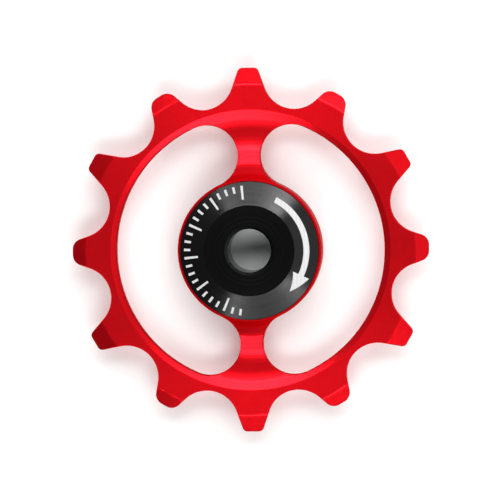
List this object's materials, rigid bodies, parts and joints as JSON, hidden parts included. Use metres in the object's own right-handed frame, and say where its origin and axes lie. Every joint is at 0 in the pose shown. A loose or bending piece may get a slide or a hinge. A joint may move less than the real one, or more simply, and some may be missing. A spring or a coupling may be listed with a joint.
{
  "type": "derailleur jockey wheel",
  "caption": "Spoked, toothed aluminium pulley with coned end caps on a sealed ceramic ball bearing. It guides and tensions the chain in a bicycle's rear derailleur.",
  "frame": {"origin": "centre of the wheel, on the axle's axis in the middle plane of the teeth", "axes": "+Z along the axle, out of the front cap; the spokes lie along Y"},
  "size_m": [0.0492, 0.0502, 0.0082],
  "materials": {
    "red_anodised_aluminium": "turned and milled, bright red anodised",
    "black_anodised_aluminium": "turned, satin black anodised",
    "ceramic_ring": "ground zirconia",
    "ceramic_ball": "polished zirconia",
    "cage_plastic": "moulded",
    "seal_plastic": "moulded"
  },
  "bodies": {
    "axle": {"front_cap": "black_anodised_aluminium", "back_cap": "black_anodised_aluminium", "bearing_inner_ring": "ceramic_ring"},
    "wheel": {"pulley": "red_anodised_aluminium", "bearing_outer_ring": "ceramic_ring", "front_seal": "seal_plastic", "back_seal": "seal_plastic"},
    "cage": {"ball_cage": "cage_plastic"},
    "ball_1": {"ball_1": "ceramic_ball"},
    "ball_2": {"ball_2": "ceramic_ball"},
    "ball_3": {"ball_3": "ceramic_ball"},
    "ball_4": {"ball_4": "ceramic_ball"},
    "ball_5": {"ball_5": "ceramic_ball"},
    "ball_6": {"ball_6": "ceramic_ball"},
    "ball_7": {"ball_7": "ceramic_ball"},
    "ball_8": {"ball_8": "ceramic_ball"},
    "ball_9": {"ball_9": "ceramic_ball"}
  },
  "joints": [
    {"name": "wheel_spin", "type": "hinge", "parent": "axle", "child": "wheel", "pos_m": [0, 0, 0], "axis": [0, 0, 1], "continuous": true},
    {"name": "cage_orbit", "type": "hinge", "parent": "axle", "child": "cage", "pos_m": [0, 0, 0], "axis": [0, 0, 1], "continuous": true},
    {"name": "ball_1_roll", "type": "hinge", "parent": "cage", "child": "ball_1", "pos_m": [0.006, 0, 0], "axis": [0, 0, 1], "continuous": true},
    {"name": "ball_2_roll", "type": "hinge", "parent": "cage", "child": "ball_2", "pos_m": [0.0046, 0.00386, 0], "axis": [0, 0, 1], "continuous": true},
    {"name": "ball_3_roll", "type": "hinge", "parent": "cage", "child": "ball_3", "pos_m": [0.00104, 0.00591, 0], "axis": [0, 0, 1], "continuous": true},
    {"name": "ball_4_roll", "type": "hinge", "parent": "cage", "child": "ball_4", "pos_m": [-0.003, 0.0052, 0], "axis": [0, 0, 1], "continuous": true},
    {"name": "ball_5_roll", "type": "hinge", "parent": "cage", "child": "ball_5", "pos_m": [-0.00564, 0.00205, 0], "axis": [0, 0, 1], "continuous": true},
    {"name": "ball_6_roll", "type": "hinge", "parent": "cage", "child": "ball_6", "pos_m": [-0.00564, -0.00205, 0], "axis": [0, 0, 1], "continuous": true},
    {"name": "ball_7_roll", "type": "hinge", "parent": "cage", "child": "ball_7", "pos_m": [-0.003, -0.0052, 0], "axis": [0, 0, 1], "continuous": true},
    {"name": "ball_8_roll", "type": "hinge", "parent": "cage", "child": "ball_8", "pos_m": [0.00104, -0.00591, 0], "axis": [0, 0, 1], "continuous": true},
    {"name": "ball_9_roll", "type": "hinge", "parent": "cage", "child": "ball_9", "pos_m": [0.0046, -0.00386, 0], "axis": [0, 0, 1], "continuous": true}
  ],
  "couplings": [
    {"joint": "cage_orbit", "follows": "wheel_spin", "ratio": 0.59917},
    {"joint": "ball_1_roll", "follows": "wheel_spin", "ratio": 2.4218},
    {"joint": "ball_2_roll", "follows": "wheel_spin", "ratio": 2.4218},
    {"joint": "ball_3_roll", "follows": "wheel_spin", "ratio": 2.4218},
    {"joint": "ball_4_roll", "follows": "wheel_spin", "ratio": 2.4218},
    {"joint": "ball_5_roll", "follows": "wheel_spin", "ratio": 2.4218},
    {"joint": "ball_6_roll", "follows": "wheel_spin", "ratio": 2.4218},
    {"joint": "ball_7_roll", "follows": "wheel_spin", "ratio": 2.4218},
    {"joint": "ball_8_roll", "follows": "wheel_spin", "ratio": 2.4218},
    {"joint": "ball_9_roll", "follows": "wheel_spin", "ratio": 2.4218}
  ]
}
